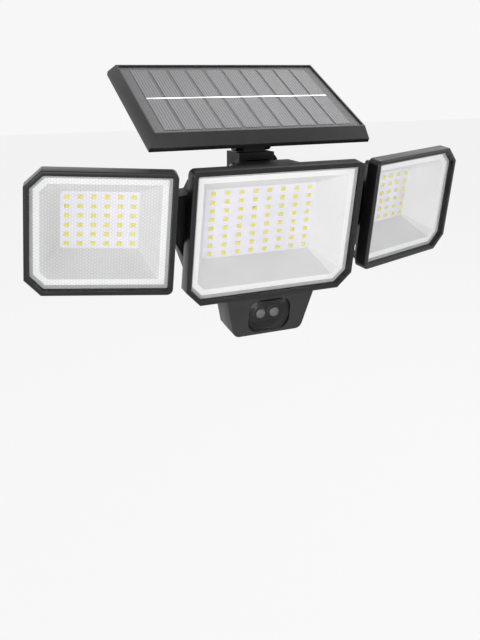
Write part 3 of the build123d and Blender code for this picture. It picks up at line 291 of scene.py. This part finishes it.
# ---- LEDs ---------------------------------------------------------------------------------------
# Surface-mount packages: a white moulded cup filled with lemon phosphor gel. Each is the board's
# block with its front inset and sunk, so that the cup's thin rim stands round the gel.
CUP_RIM = 0.00007               # metres: the cup's flat rim
GEL_STEP, GEL_DEPTH = 0.00006, 0.00012      # metres: the gel's edge, inward and down
package_white = grained("package_white", "#e4e4d4", "#eaeada", roughness=0.4, grain_mm=0.7,
                        depth=0.00001)
phosphor_gel = grained("phosphor_gel", "#e8df68", "#f0e97e", roughness=0.3, grain_mm=0.9,
                       depth=0.00002, patch_mm=2.0)
for head in ("centre", "left", "right"):
    leds = moulding(head + "_leds", "_cups")
    dress(leds, package_white, phosphor_gel)
    for face in leds.data.polygons:
        face.material_index = 0
        face.select = face.normal.dot(facing(head)[2]) > FACES_AHEAD
    bpy.ops.object.mode_set(mode="EDIT")
    bpy.ops.mesh.select_mode(type="FACE")
    bpy.ops.mesh.inset(thickness=CUP_RIM, use_individual=True)
    bpy.context.object.active_material_index = 1
    bpy.ops.object.material_slot_assign()
    bpy.ops.mesh.inset(thickness=GEL_STEP, depth=-GEL_DEPTH, use_individual=True)
    bpy.ops.object.mode_set(mode="OBJECT")
    stands_for(leds, head + "_leds")

# ---- Motion sensor ------------------------------------------------------------------------------
# The housing is black ABS. Its dome is smoked polyethylene, dark but thin enough for the two
# drawn-metal sensor cans behind it to show as soft grey spots.
HOOD_EDGE, COVER_EDGE, DOME_EDGE = 0.0006, 0.0003, 0.0002       # metres
END_RING = 0.00001              # metres: corners this near a solid's far end belong to its end


def places(name, axis):
    """Middle of each loose solid's end along an axis, and the solid's length, in order."""
    mesh = bmesh.new()
    mesh.from_mesh(frame["nodes"][name].data)
    bmesh.ops.remove_doubles(mesh, verts=mesh.verts, dist=MERGE)
    found, seen = [], set()
    for start in mesh.verts:
        if start.index in seen:
            continue
        seen.add(start.index)
        solid, waiting = [], [start]
        while waiting:
            vertex = waiting.pop()
            solid.append(vertex.co.copy())
            for edge in vertex.link_edges:
                other = edge.other_vert(vertex)
                if other.index not in seen:
                    seen.add(other.index)
                    waiting.append(other)
        reach = [point.dot(axis) for point in solid]
        ring = [p for p, r in zip(solid, reach) if r > max(reach) - END_RING]
        found.append((sum(ring, Vector()) / len(ring), max(reach) - min(reach)))
    mesh.free()
    return found


def turned(name, rings, sides):
    """A body turned about Z from (radius, height) rings, in millimetres, from the bottom up."""
    bpy.ops.object.select_all(action="DESELECT")
    bpy.ops.mesh.primitive_circle_add(vertices=sides, radius=rings[0][0] / MM_PER_M,
                                      fill_type="NGON")
    body = bpy.context.object
    body.name = name
    bpy.ops.object.mode_set(mode="EDIT")
    bpy.ops.mesh.select_all(action="SELECT")
    bpy.ops.transform.translate(value=(0, 0, rings[0][1] / MM_PER_M))
    for (radius, height), (next_radius, next_height) in zip(rings, rings[1:]):
        bpy.ops.mesh.extrude_region_move(
            TRANSFORM_OT_translate={"value": (0, 0, (next_height - height) / MM_PER_M)})
        ratio = next_radius / radius
        bpy.ops.transform.resize(value=(ratio, ratio, 1),
                                 center_override=(0, 0, next_height / MM_PER_M))
    bpy.ops.mesh.select_all(action="SELECT")
    bpy.ops.mesh.normals_make_consistent(inside=False)
    bpy.ops.object.mode_set(mode="OBJECT")
    bpy.ops.object.shade_smooth_by_angle(angle=math.radians(35))
    return body


def set_out(model, name, axis, piece_name):
    """Copies of a model, one at each solid of a node, joined into one finished piece."""
    upright = axis.to_track_quat("Z", "Y").to_matrix().to_4x4()
    copies = []
    for spot, _ in places(name, axis):
        copy = bpy.data.objects.new(piece_name, model.data.copy())
        bpy.context.collection.objects.link(copy)
        copy.matrix_world = Matrix.Translation(spot) @ upright
        copies.append(copy)
    bpy.data.objects.remove(model)
    alone(copies[0])
    for copy in copies:
        copy.select_set(True)
    bpy.ops.object.transform_apply(location=True, rotation=True, scale=True)
    if len(copies) > 1:
        bpy.ops.object.join()
    stands_for(copies[0], name)
    return copies[0]


# black ABS from a smoother mould than the arms', so the front returns more of the light; the
# arms' darker tone beside it is painted shade
satin_abs = grained("satin_abs", "#151516", "#1b1b1d", roughness=0.42, grain_mm=0.6,
                    depth=0.00006)
dress(eased("sensor_housing", HOOD_EDGE), satin_abs)
dress(eased("sensor_cover", COVER_EDGE), satin_abs)
# smoked polyethylene: light crosses both faces of its wall, so each face lets more than half by
smoked_polyethylene = grained("smoked_polyethylene", "#242426", "#2c2c2e", roughness=0.2,
                              grain_mm=1.4, depth=0.00003)
smoked_polyethylene.node_tree.nodes["Principled BSDF"].inputs["Alpha"].default_value = 0.34
dress(eased("sensor_dome", DOME_EDGE, 50.0), smoked_polyethylene)
# tinned steel cans: the cap's own tone in the middle and painted shade towards the rim, so that
# they read as soft round spots through the smoked wall
centre_front = facing("centre")[2]
tinned_steel_painted_shade, tree, shader = blank("tinned_steel_painted_shade")
shader.inputs["Metallic"].default_value = 1.0
shader.inputs["Roughness"].default_value = 0.55
first, second = sorted((spot for spot, _ in places("motion_sensors", centre_front)),
                       key=lambda spot: spot.x)
middle = (first + second) / 2
flat = laid_on(tree, facing("centre"))
flat.inputs["Location"].default_value = -(Matrix(facing("centre")) @ middle)
parts = node(tree, "ShaderNodeSeparateXYZ", None, None, {"Vector": (flat, "Vector")})
side = node(tree, "ShaderNodeMath", {"operation": "ABSOLUTE"}, None, {0: (parts, "X")})
# both cans share one pattern: their half spacing in metres is taken off the sideways distance
off = node(tree, "ShaderNodeMath", {"operation": "SUBTRACT"}, {1: (second - first).length / 2},
           {0: (side, "Value")})
around = node(tree, "ShaderNodeCombineXYZ", None, None, {"X": (off, "Value"), "Y": (parts, "Y")})
reach = node(tree, "ShaderNodeVectorMath", {"operation": "LENGTH"}, None,
             {0: (around, "Vector")})
# the painted shade deepens from 3.1 mm off a can's middle, where its cap starts to round over, to
# 4.9 mm, which is just past its rim
painted_cap_shade = node(tree, "ShaderNodeMapRange", {"interpolation_type": "SMOOTHSTEP"},
            {"From Min": 0.0031, "From Max": 0.0049}, {"Value": (reach, "Value")})
tone = node(tree, "ShaderNodeValToRGB", None, None, {"Fac": (painted_cap_shade, "Result")})
tone.color_ramp.elements[0].color = linear("#d8d8d6")
tone.color_ramp.elements[1].color = linear("#4a4a4a")
tree.links.new(tone.outputs["Color"], shader.inputs["Base Color"])
# the can's crimped foot, its straight wall and its rounded cap
can = turned("can", [(4.6, -4.2), (4.6, -3.7), (4.0, -3.6), (4.0, -1.5), (3.7, -0.8), (3.1, -0.3),
                     (2.2, -0.06), (1.2, 0.0)], sides=36)
dress(set_out(can, "motion_sensors", centre_front, "sensor_cans"), tinned_steel_painted_shade)
# black solder mask on the board that faces the dome, so that only the cans show through it, and
# the usual green on the board behind it
black_mask = grained("black_solder_mask", "#0c0c0d", "#111112", roughness=0.4, grain_mm=0.9,
                     depth=0.00003)
green_mask = grained("green_solder_mask", "#12502c", "#176236", roughness=0.35, grain_mm=0.9,
                     depth=0.00003)
dress("sensor_board", black_mask)
dress("control_board", green_mask)
# black rubber from a matt mould: duller and a little paler than the ABS round it
button_rubber = grained("button_rubber", "#1a1a1b", "#222224", roughness=0.7, grain_mm=0.5,
                        depth=0.00006)
dress("mode_button", button_rubber)

# ---- Battery ------------------------------------------------------------------------------------
# A cell in smooth blue shrink wrap, which carries soft highlights along it, lies in a black
# holder. An ABS cover closes the bay over a silicone seal, with four screws.
WRAP_EDGE = 0.0006              # metres
shrink_wrap = grained("shrink_wrap", "#1c4a86", "#215395", roughness=0.3, grain_mm=3.0,
                      depth=0.00003)
dress(eased("battery_cell", WRAP_EDGE), shrink_wrap)
dress("battery_holder", satin_abs)
dress(eased("battery_cover", COVER_EDGE), satin_abs)

# ---- Solar panel --------------------------------------------------------------------------------
# Ten silicon strips under a clear laminate in a bevelled black tray. Fine printed fingers run
# along each strip, and one bright busbar crosses them all at the middle.
dress(eased("panel_tray", HOUSING_EDGE), satin_abs)
dress(eased("panel_back_cover", COVER_EDGE), satin_abs)
dress(eased("panel_bracket", COVER_EDGE), black_abs_painted_shade)
# matt glass-filled laminate: the darker grey between the strips and round them
laminate_board = grained("laminate_board", "#727274", "#767678", roughness=0.6, grain_mm=1.0,
                         depth=0.00002)
dress("panel_backing", laminate_board)
SLOPE = math.radians(29)
panel_normal = Vector((0, -math.sin(SLOPE), math.cos(SLOPE)))
panel_plane = (Vector((1, 0, 0)), Vector((0, math.cos(SLOPE), math.sin(SLOPE))), panel_normal)
# etched silicon with silver print: a low sheen, so the strips stay mid grey in a bright room
printed_silicon, tree, shader = blank("printed_silicon")
shader.inputs["Roughness"].default_value = 0.42
shader.inputs["IOR"].default_value = 1.5
shader.inputs["Specular IOR Level"].default_value = 0.35
flat = laid_on(tree, panel_plane)
# real fingers stand near 1 mm apart, and are drawn coarser, at 2.1 mm, so that they show
WAVE_MM, FINGER_MM = 314.16, 2.1            # a wave texture repeats every WAVE_MM / scale
fingers = node(tree, "ShaderNodeTexWave", {"bands_direction": "X", "wave_profile": "SIN"},
               {"Scale": WAVE_MM / FINGER_MM}, {"Vector": (flat, "Vector")})
tone = node(tree, "ShaderNodeValToRGB", None, None, {"Fac": (fingers, "Fac")})
tone.color_ramp.elements[0].position = 0.3
tone.color_ramp.elements[1].position = 0.95
tone.color_ramp.elements[0].color = linear("#777779")
tone.color_ramp.elements[1].color = linear("#939395")
tree.links.new(tone.outputs["Color"], shader.inputs["Base Color"])
dress("panel_cells", printed_silicon)
# hot-dipped tin is metal with the same kind of soft patches and grain; its glint is nearly white
bright_tin = grained("bright_tin", "#f8f8f8", "#fdfdfd", roughness=0.35, grain_mm=0.6,
                     depth=0.00001, metallic=1.0)
# the busbar is a flat ribbon with rolled edges, a hair clear of the sheet laid over it
BUSBAR_EDGE, BUSBAR_GAP = 0.00004, 0.00003              # metres
busbar = eased("panel_busbar", BUSBAR_EDGE)
dress(set_back(busbar, -BUSBAR_GAP * panel_normal), bright_tin)
dress("battery_contacts", bright_tin)
# the sheet's even pattern stands for its fine matt texture, drawn coarser so that it shows
dress("panel_cover_sheet", relief_sheet("panel_cover_sheet", panel_plane, wide_mm=1.6,
                                        high_mm=1.6, clear=0.006, net=0.03))

# ---- Screws -------------------------------------------------------------------------------------
# Zinc-plated steel pan-head screws, cold-headed with a cross recess and left satin. One is
# modelled for each node and set out at the places where that node's screws stand.
zinc_steel, tree, shader = blank("zinc_steel")
shader.inputs["Metallic"].default_value = 1.0
shader.inputs["Base Color"].default_value = linear("#8d8e90")
place = node(tree, "ShaderNodeTexCoord")
# plating clouds about 1.1 mm across turn the satin a little duller and brighter
plating = node(tree, "ShaderNodeTexNoise", None, {"Scale": 900.0, "Detail": 3.0},
               {"Vector": (place, "Object")})
polish = node(tree, "ShaderNodeMapRange", None, {"To Min": 0.28, "To Max": 0.46},
              {"Value": (plating, "Fac")})
tree.links.new(polish.outputs["Result"], shader.inputs["Roughness"])


def sunk(body, cutter):
    """Cut one body's shape out of another."""
    alone(body)
    recess = body.modifiers.new("recess", "BOOLEAN")
    recess.operation = "DIFFERENCE"
    recess.solver = "EXACT"
    recess.object = cutter
    bpy.ops.object.modifier_apply(modifier="recess")
    bpy.data.objects.remove(cutter)


def pan_head_screw(shank, head, thick, length):
    """Pan-head screw along Z in millimetres, its head's top at the origin, cross recessed."""
    point, thread, taper = shank * 0.55, shank * 0.96, 0.7
    screw = turned("screw", [(point, -length), (thread, taper - length), (thread, -thick),
                             (head, -thick), (head, -thick * 0.5), (head * 0.88, -thick * 0.17),
                             (head * 0.5, 0.0)], sides=24)
    for turn in (0.0, math.radians(90)):
        bpy.ops.object.select_all(action="DESELECT")
        bpy.ops.mesh.primitive_cube_add(size=1 / MM_PER_M, rotation=(0, 0, turn))
        arm = bpy.context.object
        arm.scale = (head * 1.15, head * 0.28, thick * 1.2)
        sunk(screw, arm)
    return screw


# radius of the shank and of the head, and the head's thickness, in millimetres
SMALL, LARGE = (1.1, 2.1, 1.4), (1.25, 2.5, 1.5)
for name, axis, (shank, head, thick) in (
    ("centre_case_screws", -centre_front, SMALL),
    ("left_case_screws", -facing("left")[2], SMALL),
    ("right_case_screws", -facing("right")[2], SMALL),
    ("battery_cover_screws", -centre_front, SMALL),
    ("sensor_cover_screws", -centre_front, SMALL),
    ("panel_back_screws", -panel_normal, LARGE),
    ("panel_bracket_screws", -panel_normal, LARGE),
):
    length = places(name, axis)[0][1] * MM_PER_M
    screw = pan_head_screw(shank, head, thick, length)
    dress(set_out(screw, name, axis, name + "_cross_recess"), zinc_steel)

# ---- Hinge bolts, nuts and pins -----------------------------------------------------------------
# Round-headed zinc-plated bolts with a hexagon socket clamp the tilt hinges, each under a nut.
# The side heads swing on plain riveted pins.
SOCKET_RADIUS, SOCKET_CUT = 0.0017, 0.003               # metres: half of the cut is in the head
leftward = Vector((-1, 0, 0))
for name, shank in (("tilt_bolt", 2.5), ("panel_bolt", 2.0)):
    length = places(name, leftward)[0][1] * MM_PER_M
    bolt = turned("bolt", [(shank * 0.8, -length), (shank, 0.5 - length), (shank, -2.4),
                           (4.4, -2.4), (4.4, -1.5), (4.1, -0.7), (3.4, -0.2), (2.6, 0.0)],
                  sides=32)
    bpy.ops.object.select_all(action="DESELECT")
    bpy.ops.mesh.primitive_cylinder_add(vertices=6, radius=SOCKET_RADIUS, depth=SOCKET_CUT)
    sunk(bolt, bpy.context.object)
    dress(set_out(bolt, name, leftward, name + "_socket_head"), zinc_steel)
for name, edge in (("tilt_nut", 0.0004), ("panel_nut", 0.0003), ("left_hinge_pin", 0.0004),
                   ("right_hinge_pin", 0.0004)):
    dress(eased(name, edge, 40.0), zinc_steel)

# ---- Grommets -----------------------------------------------------------------------------------
# Soft black rubber sleeves where the panel's lead passes the two walls. Moulded ribs let them
# bend, and the bore is empty because the lead isn't fitted.
for name, axis in (("head_lead_gland", -centre_front), ("panel_lead_gland", -panel_normal)):
    # the flange, two ribs between three waists, the tip, and the bore, which ends in a thin skin
    sleeve = turned("sleeve", [(4.5, -6.0), (4.5, -5.0), (3.6, -4.8), (3.6, -4.2), (4.1, -4.0),
                               (4.1, -3.4), (3.2, -3.2), (3.2, -2.6), (3.7, -2.4), (3.7, -1.8),
                               (2.9, -1.6), (2.9, -1.0), (3.3, -0.8), (3.1, 0.0), (1.6, 0.0),
                               (1.6, -5.9)], sides=32)
    dress(set_out(sleeve, name, axis, name + "_ribbed"), button_rubber)

# ---- Floor, light and camera --------------------------------------------------------------------
# A pale floor well below the light, an even pale surround, and soft lamps: a large one in front to
# fill the lamp chambers, one above and behind for the tops, and a narrow strip at each side for
# the round edges. The camera stands at the front left and looks slightly down.
FLOOR_WIDE, FLOOR_HEIGHT = 12, -0.42                    # metres
bpy.ops.object.select_all(action="DESELECT")
bpy.ops.mesh.primitive_plane_add(size=FLOOR_WIDE, location=(0, 0, FLOOR_HEIGHT))
floor = bpy.context.object
floor.name = "studio_floor"


def surround(tree, rays_share, shaded, output, white):
    """Mix an even white into a shader for the rays that see the background."""
    rays = node(tree, "ShaderNodeLightPath")
    some = node(tree, "ShaderNodeMath", {"operation": "MAXIMUM"}, None,
                {0: (rays, "Is Camera Ray"), 1: (rays, "Is Glossy Ray")})
    every = node(tree, "ShaderNodeMath", {"operation": "MAXIMUM"}, None,
                 {0: (some, "Value"), 1: (rays, "Is Transmission Ray")})
    share = node(tree, "ShaderNodeMath", {"operation": "MULTIPLY"}, {1: rays_share},
                 {0: (every, "Value")})
    kind = "ShaderNodeEmission" if output == "Material Output" else "ShaderNodeBackground"
    even = node(tree, kind, None, {"Color": linear(white), "Strength": 1.0})
    blend = node(tree, "ShaderNodeMixShader", None, None,
                 {0: (share, "Value"), 1: (shaded, 0), 2: (even, 0)})
    tree.links.new(blend.outputs[0], tree.nodes[output].inputs["Surface"])


# matt backdrop paper: an even white that still takes a fifth of its tone from the light, and so
# keeps the object's soft shadow
paper, tree, shader = blank("backdrop_paper")
shader.inputs["Base Color"].default_value = linear("#fbfbfb")
shader.inputs["Roughness"].default_value = 0.95
surround(tree, 0.8, shader, "Material Output", "#ffffff")
floor.data.materials.append(paper)

world = bpy.data.worlds.new("studio")
bpy.context.scene.world = world
world.use_nodes = True
tree = world.node_tree
soft = tree.nodes["Background"]
soft.inputs["Color"].default_value = linear("#f7f7f7")
soft.inputs["Strength"].default_value = 0.46
surround(tree, 1.0, soft, "World Output", "#f7f7f7")

# each lamp's place, width and height in metres, and its power in watts
aim = Vector((0, -0.09, 0.02))              # the middle of the object, which all the lamps face
for name, spot, wide, high, power in (
    ("front_lamp", (-0.7, -1.5, -0.05), 1.0, 1.0, 12.5),
    ("top_lamp", (0.75, 0.3, 1.35), 0.9, 0.9, 8.0),
    ("left_strip", (-1.45, -0.6, 0.15), 0.3, 0.9, 2.6),
    ("right_strip", (1.4, -0.75, 0.15), 0.3, 0.9, 2.6),
):
    lamp = bpy.data.lights.new(name, "AREA")
    lamp.shape = "RECTANGLE"
    lamp.size = wide
    lamp.size_y = high
    lamp.energy = power
    holder = bpy.data.objects.new(name, lamp)
    bpy.context.collection.objects.link(holder)
    holder.location = spot
    holder.rotation_euler = (aim - Vector(spot)).to_track_quat("-Z", "Y").to_euler()

lens = bpy.data.cameras.new("camera")
camera = bpy.data.objects.new("camera", lens)
bpy.context.collection.objects.link(camera)
azimuth, elevation = math.radians(25.85), math.radians(9.574)
camera.location = (-0.2655, -0.6004, 0.1254)
camera.rotation_euler = Vector((
    math.sin(azimuth) * math.cos(elevation),
    math.cos(azimuth) * math.cos(elevation),
    -math.sin(elevation),
)).to_track_quat("-Z", "Y").to_euler()
lens.lens = 45.86
lens.shift_x = 0.0027
lens.shift_y = -0.1829
lens.clip_start = 0.01
bpy.context.scene.camera = camera
bpy.context.scene.view_settings.view_transform = "Standard"
